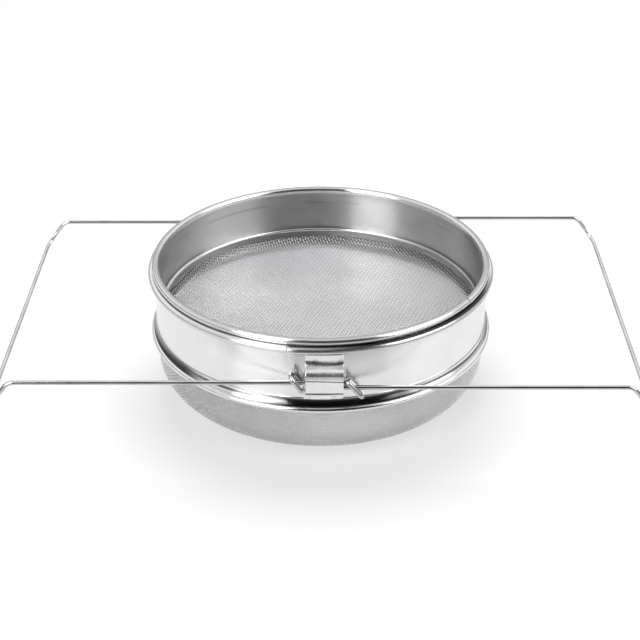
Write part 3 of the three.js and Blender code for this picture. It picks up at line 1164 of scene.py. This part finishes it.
@dataclass
class UpperSieve:
    """Loose sieve on top: rolled hoop, coarse cloth and the hoop that clamps it."""

    wall: float = 114.0
    sheet: float = 0.6
    # The inside of the hoop is painted darker than its outside, as painted shade.
    sheet_bright: Place = steel(0.48)
    sheet_dull: Place = steel(0.41)
    sheet_roughness: float = 0.31
    ledge_inner: float = 108.7
    ledge_z: float = 49.3
    ledge_corner: float = 1.3
    ledge_steps: int = 6
    ledge_guard: float = 0.5
    line_z: float = 84.0
    line_half: float = 1.2
    line_out: float = 0.01
    # The rolled line is drawn mostly as a line of painted shade; it stands out by only a hundredth of a
    # millimetre.
    line_fold: Fold = Fold(84.0, 0.7, 1.2, 0.3, 0.9)
    wall_guard: float = 0.8
    rim: Rim = Rim(116.0, 93.35, 2.3)
    # A thin line painted dark along the top of the rim.
    top_fold: Fold = Fold(95.85, 0.2, 0.15, 0.45)
    seam_degrees: float = -33.0
    seam_shift: Flat = (0.2, -0.1)
    seam_reach: float = 34.0
    floor_radius: float = 108.4
    floor_z: float = 50.4
    floor_sag: float = 1.2
    floor_steps: int = 24
    cove: float = 1.4
    cove_steps: int = 5
    skirt_foot: Flat = (112.9, 55.8)
    skirt_top: float = 60.4
    hoop_outer: float = 112.7
    hoop_sheet: float = 0.9
    hoop_bottom: float = 55.9
    hoop_bead: float = 1.35
    hoop_bead_z: float = 61.3
    hoop_bead_out: float = 0.85
    hoop_bead_degrees: float = 276.0
    hoop_bead_steps: int = 20
    hoop_guard: float = 0.3
    # The clamp hoop is painted shaded below its bead and painted dim in one stretch.
    hoop_finish: TurnedRing = TurnedRing(
        name="clamp_hoop", bright=steel(0.85), dull=steel(0.76, 0.01), shade_below=60.5, dimmed_turns=(-10.0, 50.0)
    )
    cloth_pitch: float = 2.1
    cloth_wire: float = 0.74
    cloth_turn: float = 24.0
    # The warp is painted darker than the weft of the same wire, as painted shade that brings out the
    # weft's lines; its turned-up edge is painted darker still.
    warp_finish: ClothWire = ClothWire(
        name="coarse_warp",
        bright=steel(0.68, 0.01),
        dull=steel(0.58, 0.01),
        roughness=0.33,
        edge_radius=109.2,
        edge_shade=steel(0.1, 0.0),
    )
    weft_finish: ClothWire = ClothWire(
        name="coarse_weft",
        bright=steel(0.96),
        dull=steel(0.84, 0.01),
        roughness=0.33,
        edge_radius=109.2,
        edge_shade=steel(0.56, 0.0),
    )

    def band_line(self) -> list[Flat]:
        """Draw the hoop's section: ledge, wall with one rolled line, and rim.

        Returns:
            Points of radius and height, from the ledge to the rim's free edge.
        """
        corner = (self.wall - self.ledge_corner, self.ledge_z + self.ledge_corner)
        low = (self.wall, corner[1])
        under = (self.wall, self.line_z - self.line_half)
        over = (self.wall, self.line_z + self.line_half)
        return [
            *held((self.ledge_inner, self.ledge_z), (corner[0], self.ledge_z), self.ledge_guard)[:-1],
            *arc(corner, self.ledge_corner, -90.0, 0.0, self.ledge_steps)[:-1],
            *held(low, under, self.wall_guard),
            (self.wall + self.line_out, self.line_z),
            *held(over, (self.wall, self.rim.centre_z), self.wall_guard)[:-1],
            *self.rim.line(),
        ]

    def cloth_line(self) -> list[Flat]:
        """Draw the middle of the coarse cloth: sagging floor, cove and skirt.

        Returns:
            Points of radius and height, from the middle to the top of the skirt.
        """
        floor = [
            (r, self.floor_z - self.floor_sag * (1.0 - (r / self.floor_radius) ** 2))
            for r in np.linspace(0.0, self.floor_radius, self.floor_steps)
        ]
        path = rounded([
            Bend((0.0, *floor[-2])),
            Bend((0.0, *floor[-1]), self.cove, self.cove_steps),
            Bend((0.0, *self.skirt_foot), self.cove, self.cove_steps),
            Bend((0.0, self.skirt_foot[0], self.skirt_top)),
        ])
        return [*floor[:-2], *((r, z) for _, r, z in path)]

    def hoop_line(self) -> list[Flat]:
        """Draw the closed section of the clamp hoop, a strip with a round bead on top.

        Returns:
            Points of radius and height, from the foot outside round to the same point.
        """
        centre = (self.hoop_outer + self.hoop_bead_out - self.hoop_bead, self.hoop_bead_z)
        bead = arc(centre, self.hoop_bead, 0.0, self.hoop_bead_degrees, self.hoop_bead_steps)
        low = (self.hoop_outer - self.hoop_sheet, self.hoop_bottom)
        start = (self.hoop_outer, self.hoop_bottom)
        return [start, *bead[:-1], *held(bead[-1], low, self.hoop_guard), start]

    def build(self) -> None:
        """Build and dress every piece of the upper sieve."""
        spun = Spun(self.band_line(), self.sheet, self.seam_degrees)
        band = spun.turned("upper_hoop_sheet")
        spun.open_seam(band, self.line_z, self.seam_shift, self.seam_reach)
        finish = RolledSheet(
            name="upper_sheet",
            bright=self.sheet_bright,
            dull=self.sheet_dull,
            roughness=self.sheet_roughness,
            rim_from=self.rim.centre_z + self.rim.bright_from,
            seam_degrees=self.seam_degrees,
            folds=(self.line_fold, self.top_fold),
            outside_from=self.wall,
        )
        Bench.settle(spun.close(band), finish.material(), Body.UPPER, "upper_band", "upper_sheet")
        ring = Spun(self.hoop_line())
        hoop = ring.close(ring.turned("upper_clamp_hoop"))
        Bench.settle(hoop, self.hoop_finish.material(), Body.UPPER, "upper_clamp_ring", "upper_hoop")
        finishes = {Lay.WARP: self.warp_finish, Lay.WEFT: self.weft_finish}
        cloth = WireCloth(
            "coarse_cloth", self.cloth_line(), self.cloth_pitch, self.cloth_wire, self.cloth_turn, finishes
        )
        cloth.build(Body.UPPER, "upper_mesh", "coarse_mesh")


# Lower sieve


@dataclass(frozen=True)
class Strap:
    """Folded strap with welded tabs. The wires of both arms run behind its flat face."""

    width: float = 24.4
    shift_x: float = 2.4
    sheet: float = 1.0
    wall: float = 117.0
    tab_gap: float = 0.3
    tab_least: float = 0.05
    tab_blend: float = 4.2
    top_z: float = 84.9
    bottom_z: float = 51.5
    slope_top_z: float = 77.2
    slope_bend: float = 4.2
    shoulder: Flat = (6.35, 73.4)
    shoulder_bend: float = 3.4
    soft_steps: int = 10
    face_offset: float = 6.9
    face_top_z: float = 69.2
    face_bottom_z: float = 60.6
    crease_depth: float = 0.3
    crease_half: float = 0.4
    crease_back: float = 0.072
    crease_slant: float = 0.035
    crease_reach: float = 5.0
    shelf_bend: float = 0.8
    shelf_bend_steps: int = 6
    shelf_z: float = 57.8
    shelf_fold: float = 2.2
    shelf_fold_steps: int = 8
    columns: int = 48
    longest_step: float = 0.7
    top_welds: tuple[Flat, ...] = ((-5.8, 80.6), (10.4, 80.6))
    bottom_welds: tuple[Flat, ...] = ((-10.2, 53.4), (5.9, 53.4))
    weld_radius: float = 2.4
    weld_depth: float = 0.4
    weld_flat: float = 0.6
    corner_cut: float = 1.4
    corner_low: float = 0.6
    corner_high: float = 0.8
    splay_from_z: float = 56.0
    splay: float = 1.3
    edge_round: float = 0.18
    edge_steps: int = 2
    edge_degrees: float = 50.0

    def line(self) -> list[Flat]:
        """Draw the strap's inner face from top tab to bottom tab.

        Returns:
            Points of offset from the wall and height.
        """
        gap = self.tab_gap
        face = self.face_offset
        path = rounded([
            Bend((0.0, gap, self.top_z)),
            Bend((0.0, gap, self.slope_top_z), self.slope_bend, self.soft_steps),
            Bend((0.0, *self.shoulder), self.shoulder_bend, self.soft_steps),
            Bend((0.0, face - self.crease_back, self.face_top_z + self.crease_half)),
            Bend((0.0, face - self.crease_depth, self.face_top_z)),
            Bend((0.0, face, self.face_top_z - self.crease_half)),
            Bend((0.0, face, self.face_bottom_z), self.shelf_bend, self.shelf_bend_steps),
            Bend((0.0, gap, self.shelf_z), self.shelf_fold, self.shelf_fold_steps),
            Bend((0.0, gap, self.bottom_z)),
        ])
        return [(offset, z) for _, offset, z in divided(path, self.longest_step)]

    def weld_places(self) -> tuple[Place, ...]:
        """Work out where the front strap is spot welded.

        Returns:
            The middle of each weld, on the strap's outer face.
        """
        out = self.wall + self.tab_gap + self.sheet
        spots = [(self.shift_x + side, z) for side, z in (*self.top_welds, *self.bottom_welds)]
        return tuple((x, -math.sqrt(out * out - x * x), z) for x, z in spots)

    def build(self) -> Piece:
        """Draw the strap's side view, widen it, lay its tabs on the wall and thicken it.

        Returns:
            The front strap.
        """
        start = self.shift_x - self.width / 2
        piece = Bench.start("front_strap")
        Bench.draw([(start, -self.wall - offset, z) for offset, z in self.line()])
        step = (self.width / self.columns * MM, 0.0, 0.0)
        bpy.ops.mesh.select_all(action="SELECT")
        for _ in range(self.columns):
            bpy.ops.mesh.extrude_region_move(TRANSFORM_OT_translate={"value": step})
        Bench.tidy()
        bpy.ops.object.mode_set(mode="OBJECT")
        self.shape(piece)
        Bench.thicken(piece, self.sheet, 1.0)
        settings = {
            "width": self.edge_round * MM,
            "segments": self.edge_steps,
            "limit_method": "ANGLE",
            "angle_limit": math.radians(self.edge_degrees),
        }
        Bench.finish(piece, "BEVEL", settings)
        Bench.smooth(piece, SMOOTH_DEGREES)
        return piece

    def shape(self, piece: Piece) -> None:
        """Curve the tabs to the wall, press in the spot welds, slant the crease and trim the corners.

        Args:
            piece: The widened side view.
        """
        points = Bench.points(piece)
        x = points[:, 0]
        z = points[:, 2]
        offset = -points[:, 1] - self.wall
        fall = self.wall - np.sqrt(self.wall**2 - x**2)
        follow = np.clip(1.0 - (offset - self.tab_gap) / self.tab_blend, 0.0, 1.0)
        for spot in self.weld_places():
            away = np.hypot(x - spot[0], z - spot[2])
            dip = np.clip(1.0 - (away / self.weld_radius) ** 2, 0.0, 1.0)
            offset = offset - self.weld_depth * dip * (follow > self.weld_flat)
        points[:, 1] = -self.wall - np.maximum(offset, self.tab_least) + fall * follow
        near_crease = np.clip(1.0 - np.abs(z - self.face_top_z) / self.crease_reach, 0.0, 1.0)
        z = z - self.crease_slant * (x - self.shift_x) * near_crease
        side = self.width / 2 - np.abs(x - self.shift_x)
        cut = np.clip(self.corner_cut - side, 0.0, None)
        lowest = self.bottom_z + cut * self.corner_low * (x > self.shift_x)
        points[:, 2] = np.clip(z, lowest, self.top_z - cut * self.corner_high)
        lower = np.clip((self.splay_from_z - z) / (self.splay_from_z - self.bottom_z), 0.0, 1.0)
        leftward = np.clip((self.shift_x - x) / self.width * 2, 0.0, 1.0)
        points[:, 0] -= self.splay * lower * leftward**3
        Bench.put(piece, points)


@dataclass
class LowerSieve:
    """Sieve below: rolled hoop with its straps, clamp bead and fine cloth bowl."""

    wall: float = 116.7
    sheet: float = 0.6
    sheet_bright: Place = steel(0.85)
    sheet_dull: Place = steel(0.79, 0.01)
    wall_guard: float = 0.8
    rim: Rim = Rim(118.75, 88.45, 2.25)
    # Height above the rim's centre from which its top is painted shaded.
    crown_from: float = 1.75
    seam_degrees: float = -100.4
    seam_shift: Flat = (0.35, -0.4)
    seam_reach: float = 26.0
    seam_drop: float = 6.0
    swage_z: float = 51.4
    swage_step: float = 0.4
    swage_bends: Flat = (0.25, 0.3)
    swage_steps: int = 4
    swage_run: float = 4.0
    # A line of painted shade along the swage.
    swage_fold: Fold = Fold(51.4, 0.5, 0.35, 0.5)
    bell_top_z: float = 51.0
    bell_start: float = 8.0
    bell_radius: float = 7.9
    bell_degrees: float = 42.0
    bell_steps: int = 12
    # Stretches of the flare that are painted lit instead of painted dark, as painted reflection.
    bell_painted_lit: tuple[Flat, ...] = ((-135.0, -107.0), (-57.0, -16.0))
    # Painted shade over the flare, in the groove above the bead.
    groove_fold: Fold = Fold(46.8, 1.2, 0.5, 0.75)
    foot: Flat = (119.5, 43.95)
    bead_outer: float = 120.65
    bead_top: float = 45.35
    bead_bottom: float = 41.65
    bead_corner: float = 1.7
    bead_corner_steps: int = 8
    bead_top_lip: float = 0.2
    bead_bottom_lip: Flat = (118.0, 117.2)
    bead_sheet: float = 0.7
    bead_finish: TurnedRing = TurnedRing(name="clamp_bead")
    bowl_z: float = 0.5
    bowl_flat: float = 66.0
    bowl_foot: Flat = (72.0, 0.7)
    bowl_corner: Flat = (92.4, 26.2)
    bowl_corner_radius: float = 23.6
    bowl_corner_degrees: float = -84.0
    bowl_steps: int = 26
    bowl_side_z: float = 34.0
    bowl_turn: tuple[Flat, ...] = ((0.0, -1.2), (0.5, -0.3), (1.4, 0.0))
    bowl_flange: Flat = (119.2, 42.85)
    cloth_pitch: float = 1.45
    cloth_wire: float = 0.44
    cloth_turn: float = 45.0
    # The warp is painted darker than the weft of the same wire, as painted shade that brings out the
    # weft's lines.
    warp_finish: ClothWire = ClothWire(
        name="fine_warp",
        bright=steel(0.6, 0.01),
        dull=steel(0.5, 0.01),
        roughness=0.36,
        edge_radius=121.0,
    )
    weft_finish: ClothWire = ClothWire(
        name="fine_weft",
        bright=steel(0.84, 0.01),
        dull=steel(0.72, 0.01),
        roughness=0.36,
        edge_radius=121.0,
    )
    strap: Strap = Strap()

    def band_line(self) -> list[Flat]:
        """Draw the hoop's section: foot, flare, swage, wall and rim.

        Returns:
            Points of radius and height, from the foot to the rim's free edge.
        """
        wide = self.wall + self.swage_step
        start = math.radians(self.bell_start)
        middle = (
            wide + self.bell_radius * math.cos(start),
            self.bell_top_z + self.bell_radius * math.sin(start),
        )
        bell = arc(
            middle, self.bell_radius, 180.0 + self.bell_degrees, 180.0 + self.bell_start, self.bell_steps
        )
        low_bend, high_bend = self.swage_bends
        path = rounded([
            Bend((0.0, *bell[-1])),
            Bend((0.0, wide, self.swage_z), low_bend, self.swage_steps),
            Bend((0.0, self.wall, self.swage_z + self.swage_step), high_bend, self.swage_steps),
            Bend((0.0, self.wall, self.swage_z + self.swage_run)),
        ])
        low = [self.foot, (bell[0][0], self.foot[1]), *bell[:-1], *((r, z) for _, r, z in path)]
        wall = held(low[-1], (self.wall, self.rim.centre_z), self.wall_guard)
        return [*low[:-1], *wall[:-1], *self.rim.line()]

    def bead_line(self) -> list[Flat]:
        """Draw the clamp bead's section: top lip, upright face with round corners and bottom lip.

        Returns:
            Points of radius and height, from the top lip to the bottom one.
        """
        corner = self.bead_corner
        middle = self.bead_outer - corner
        return [
            (middle - self.bead_top_lip, self.bead_top),
            *arc((middle, self.bead_top - corner), corner, 90.0, 0.0, self.bead_corner_steps),
            *arc((middle, self.bead_bottom + corner), corner, 0.0, -90.0, self.bead_corner_steps),
            *((radius, self.bead_bottom) for radius in self.bead_bottom_lip),
        ]

    def cloth_line(self) -> list[Flat]:
        """Draw the middle of the bowl: flat middle, corner, upright side and flange.

        Returns:
            Points of radius and height, from the middle to the edge of the flange.
        """
        corner = arc(
            self.bowl_corner, self.bowl_corner_radius, self.bowl_corner_degrees, 0.0, self.bowl_steps
        )
        side = corner[-1][0]
        return [
            (0.0, self.bowl_z),
            (self.bowl_flat, self.bowl_z),
            self.bowl_foot,
            *corner,
            (side, self.bowl_side_z),
            *((side + out, self.bowl_flange[1] + up) for out, up in self.bowl_turn),
            self.bowl_flange,
        ]

    def build_hoop(self) -> None:
        """Build and dress the hoop and the bead that clamps the bowl to it."""
        spun = Spun(self.band_line(), self.sheet, self.seam_degrees)
        band = spun.turned("lower_hoop_sheet")
        spun.open_seam(band, self.rim.centre_z - self.seam_drop, self.seam_shift, self.seam_reach)
        finish = RolledSheet(
            name="lower_sheet",
            bright=self.sheet_bright,
            dull=self.sheet_dull,
            rim_from=self.rim.centre_z + self.rim.bright_from,
            seam_degrees=self.seam_degrees,
            folds=(self.swage_fold, self.groove_fold),
            foot_below=self.bell_top_z,
            foot_painted_lit=self.bell_painted_lit,
            crown_from=self.rim.centre_z + self.crown_from,
        )
        Bench.settle(spun.close(band), finish.material(), Body.LOWER, "lower_band", "lower_sheet")
        ring = Spun(self.bead_line(), self.bead_sheet)
        bead = ring.close(ring.turned("lower_clamp_bead"))
        Bench.settle(bead, self.bead_finish.material(), Body.LOWER, "lower_clamp_ring", "lower_bead")

    def build_straps(self) -> None:
        """Build and dress the front strap and its copy behind."""
        front = self.strap.build()
        rear = Bench.half_turn(front, "rear_strap")
        welds = self.strap.weld_places()
        behind = tuple((-x, -y, z) for x, y, z in welds)
        for piece, node, spots in ((front, "front_bracket", welds), (rear, "rear_bracket", behind)):
            finish = StrapSheet(
                name=f"{piece.name}_sheet", weld_places=spots, weld_radius=self.strap.weld_radius
            )
            Bench.settle(piece, finish.material(), Body.LOWER, node, "bracket_sheet")

    def build(self) -> None:
        """Build and dress every piece of the lower sieve."""
        self.build_hoop()
        self.build_straps()
        finishes = {Lay.WARP: self.warp_finish, Lay.WEFT: self.weft_finish}
        cloth = WireCloth(
            "fine_cloth", self.cloth_line(), self.cloth_pitch, self.cloth_wire, self.cloth_turn, finishes
        )
        cloth.build(Body.LOWER, "lower_mesh", "fine_mesh")


# Arms


@dataclass
class Arm:
    """U of round wire that slides in the straps, with a hook at each end round the other arm."""

    wire: float = 1.5
    sides: int = 5
    leg_y: float = 121.8
    lane_high: float = 66.5
    lane_low: float = 62.9
    leg_end: float = 200.8
    crossbar_x: float = 214.8
    crossbar_drop: float = 17.6
    fold: float = 8.0
    fold_steps: int = 12
    corner: float = 12.0
    corner_steps: int = 14
    hook_start: float = 13.5
    hook_lean: float = 2.8
    hook_side: float = 3.4
    hook_bend: float = 1.9
    hook_bend_steps: tuple[int, int] = (6, 8)
    hook_curl: float = 3.3
    hook_curl_steps: int = 12
    hook_step: float = 0.9
    hook_swing: float = 2.7
    tail_x: float = 1.6
    tail_share: float = 0.9
    down_tip: Flat = (26.8, 56.5)
    up_tip: Flat = (19.2, 71.8)
    end_round: float = 0.5
    end_steps: int = 4
    smooth_degrees: float = 50.0

    def hook(self, leg_y: float, own_z: float, other_z: float, tip: Flat) -> list[Bend]:
        """Return the bends of one hook, from the strap outward.

        Args:
            leg_y: Where the leg runs.
            own_z: Height of this leg.
            other_z: Height of the leg that the hook goes round.
            tip: How far out the hook reaches and at what height.

        Returns:
            The bends in order along the wire.
        """
        side = math.copysign(1.0, leg_y)
        start = self.hook_start - side * self.hook_lean
        outside = leg_y + side * self.hook_side
        inside = leg_y - side * self.hook_side
        swung = own_z - math.copysign(self.hook_swing, tip[1] - own_z)
        tail = other_z + (own_z - other_z) * self.tail_share
        return [
            Bend((start, leg_y, own_z), self.hook_bend, self.hook_bend_steps[0]),
            Bend((start + self.hook_step, outside, swung), self.hook_bend, self.hook_bend_steps[1]),
            Bend((tip[0], outside, tip[1]), self.hook_curl, self.hook_curl_steps),
            Bend((tip[0], inside, tip[1]), self.hook_curl, self.hook_curl_steps),
            Bend((start + self.tail_x, inside, tail)),
        ]

    def bends(self) -> list[Bend]:
        """Return every bend of the left arm.

        Returns:
            The bends from its front hook round to its rear one.
        """
        front = self.hook(-self.leg_y, self.lane_high, self.lane_low, self.down_tip)
        rear = self.hook(self.leg_y, self.lane_low, self.lane_high, self.up_tip)
        low = self.lane_low - self.crossbar_drop
        high = self.lane_high - self.crossbar_drop
        return [
            *reversed(front),
            Bend((-self.leg_end, -self.leg_y, self.lane_high), self.fold, self.fold_steps),
            Bend((-self.crossbar_x, -self.leg_y, high), self.corner, self.corner_steps),
            Bend((-self.crossbar_x, self.leg_y, low), self.corner, self.corner_steps),
            Bend((-self.leg_end, self.leg_y, self.lane_low), self.fold, self.fold_steps),
            *rear,
        ]

    def round_ends(self, piece: Piece) -> None:
        """Bevel the edge of each cut end of the wire.

        Args:
            piece: The wire.
        """
        bpy.ops.object.mode_set(mode="EDIT")
        Bench.tidy()
        bpy.ops.object.mode_set(mode="OBJECT")
        ends = np.array([len(face.vertices) > QUAD for face in piece.data.polygons])
        Bench.mark(piece, "FACE", "polygons", ends)
        bpy.ops.mesh.bevel(offset=self.end_round * MM, segments=self.end_steps, affect="EDGES")
        bpy.ops.object.mode_set(mode="OBJECT")

    def build(self) -> None:
        """Draw the wire of the left arm, make it round, and copy it for the right arm."""
        left = Bench.start("left_arm_wire")
        Bench.draw(rounded(self.bends()))
        bpy.ops.object.mode_set(mode="OBJECT")
        bpy.ops.object.convert(target="CURVE")
        left.data.bevel_depth = self.wire * MM
        left.data.bevel_resolution = self.sides
        left.data.use_fill_caps = True
        bpy.ops.object.convert(target="MESH")
        self.round_ends(left)
        Bench.smooth(left, self.smooth_degrees)
        right = Bench.half_turn(left, "right_arm_wire")
        finish = DrawnWire().material()
        Bench.settle(left, finish, Body.LEFT, "left_arm", "arm_wire")
        Bench.settle(right, finish, Body.RIGHT, "right_arm", "arm_wire")


# Studio


@dataclass
class Studio:
    """White floor, soft light all round with a dark front, and the camera.

    The room's light is given by direction: turns are degrees from straight in front, to the right, and
    lifts are degrees above the horizon. The floor and the lamp are in metres.
    """

    look_at: Place = (-0.5, 0.0, 43.5)
    elevation: float = 29.61
    distance: float = 1055.5
    lens: float = 82.36
    sensor: float = 36.0
    nearest: float = 0.01
    floor_size: float = 60.0
    floor_colour: Place = steel(0.42, 0.0)
    floor_glow: float = 0.55
    floor_white: Flat = (0.4, 0.8)
    table_x: Flat = (-0.8, 0.9)
    table_y: Flat = (-0.31, 0.7)
    table_soft: float = 0.04
    beyond: float = 0.12
    horizon: float = 0.35
    side_level: float = 0.9
    back_level: float = 1.25
    back_turn: Flat = (95.0, 140.0)
    room_lift: Flat = (5.0, 24.0)
    box_top: Flat = (50.0, 62.0)
    key_level: float = 5.8
    key_low: float = 0.4
    key_lift: Flat = (7.0, 19.0)
    key_start: Flat = (-60.0, -51.0)
    key_end: Flat = (-24.5, -21.5)
    fill_level: float = 3.7
    fill_lift: Flat = (10.0, 24.0)
    fill_turn: Flat = (47.0, 95.0)
    fill_soft: float = 4.0
    zenith_level: float = 0.15
    zenith_lift: Flat = (62.0, 76.0)
    gap_depth: float = 0.97
    gap_turn: Flat = (-28.0, 46.0)
    gap_soft: float = 8.0
    lamp_place: Place = (0.0, 0.82, 1.5)
    lamp_size: float = 1.1
    lamp_power: float = 55.0

    def camera(self) -> None:
        """Put the camera where the picture was taken from."""
        rise = math.radians(self.elevation)
        back = Vector((0.0, -math.cos(rise), math.sin(rise)))
        data = bpy.data.cameras.new("camera")
        data.lens = self.lens
        data.sensor_width = self.sensor
        data.clip_start = self.nearest
        camera = bpy.data.objects.new("camera", data)
        camera.location = (Vector(self.look_at) + back * self.distance) * MM
        camera.rotation_euler = (-back).to_track_quat("-Z", "Y").to_euler()
        bpy.context.scene.collection.objects.link(camera)
        bpy.context.scene.camera = camera

    def floor(self) -> None:
        """Lay a pale floor that reads white, and still takes the shadow of the strainer."""
        bpy.ops.object.select_all(action="DESELECT")
        bpy.ops.mesh.primitive_plane_add(size=self.floor_size)
        floor = bpy.context.object
        floor.name = "floor"
        material = new_material("floor_paper")
        graph = Graph(material.node_tree)
        x, y, _ = graph.axes(graph.coordinates("Object"))
        path = graph.add("ShaderNodeLightPath")
        rays = ("Is Camera Ray", "Is Glossy Ray", "Is Transmission Ray")
        direct, mirrored, passed = (Value(graph, path.outputs[ray]) for ray in rays)
        seen = graph.math("MAXIMUM", graph.math("MAXIMUM", direct, mirrored), passed)
        table = x.window(*self.table_x, self.table_soft) * y.window(*self.table_y, self.table_soft)
        level = 1.0 - (1.0 - direct) * (1.0 - table) * (1.0 - self.beyond)
        paper = graph.add("ShaderNodeBsdfDiffuse", sockets={"Color": self.floor_colour})
        white = graph.add("ShaderNodeEmission", sockets={"Color": WHITE, "Strength": level})
        away = graph.math("SQRT", x * x + y * y).rise(*self.floor_white)
        glow = seen * (self.floor_glow + away * (1.0 - self.floor_glow))
        mix = graph.add("ShaderNodeMixShader", sockets={0: glow, 1: paper.outputs[0], 2: white.outputs[0]})
        graph.add("ShaderNodeOutputMaterial", sockets={"Surface": mix.outputs[0]})
        floor.data.materials.append(material)

    def light(self, turn: Value, z: Value) -> Value:
        """Return how bright the room is in a direction.

        Args:
            turn: The direction's turn from the front, in radians.
            z: How high it points, from -1 to 1.

        Returns:
            The room, dark low down and in front and bright behind, with two soft boxes in it.
        """
        behind = abs(turn).rise(*radians(*self.back_turn))
        level = self.side_level - self.horizon + behind * (self.back_level - self.side_level)
        room = self.horizon + z.rise(*heights(*self.room_lift)) * level
        boxed = 1.0 - z.rise(*heights(*self.box_top))
        key = turn.rise(*radians(*self.key_start)) * (1.0 - turn.rise(*radians(*self.key_end))) * boxed
        key = key * (self.key_low + z.rise(*heights(*self.key_lift)) * (1.0 - self.key_low))
        fill = turn.window(*radians(*self.fill_turn, self.fill_soft)) * boxed
        fill = fill * z.rise(*heights(*self.fill_lift))
        zenith = z.rise(*heights(*self.zenith_lift))
        gap = turn.window(*radians(*self.gap_turn, self.gap_soft)) * (1.0 - zenith)
        light = room * (1.0 - gap * self.gap_depth) + key * self.key_level + fill * self.fill_level
        return light + zenith * self.zenith_level

    def world(self) -> None:
        """Fill the room with its light. The camera sees it white."""
        world = bpy.data.worlds.new("room")
        world.use_nodes = True
        bpy.context.scene.world = world
        graph = Graph(world.node_tree)
        x, y, z = graph.axes(graph.coordinates("Generated"))
        light = self.light(graph.math("ARCTAN2", x, y * -1.0), z)
        camera = Value(graph, graph.add("ShaderNodeLightPath").outputs["Is Camera Ray"])
        strength = light + (1.0 - light) * camera
        shader = graph.add("ShaderNodeBackground", sockets={"Color": WHITE, "Strength": strength})
        graph.add("ShaderNodeOutputWorld", sockets={"Surface": shader.outputs[0]})

    def lamp(self) -> None:
        """Hang one broad soft lamp above, which lights the floor but shows in no reflection."""
        data = bpy.data.lights.new("overhead", "AREA")
        data.shape = "SQUARE"
        data.size = self.lamp_size
        data.energy = self.lamp_power
        lamp = bpy.data.objects.new("overhead", data)
        lamp.location = self.lamp_place
        lamp.visible_glossy = False
        bpy.context.scene.collection.objects.link(lamp)

    def build(self) -> None:
        """Set up the camera, the floor and the light."""
        bpy.context.scene.view_settings.view_transform = "Standard"
        self.camera()
        self.floor()
        self.world()
        self.lamp()


def main() -> None:
    """Build the studio and every sub-assembly in order."""
    logging.basicConfig(level=logging.INFO, format="%(message)s")
    Studio().build()
    Arm().build()
    UpperSieve().build()
    LowerSieve().build()


if __name__ == "__main__":
    main()
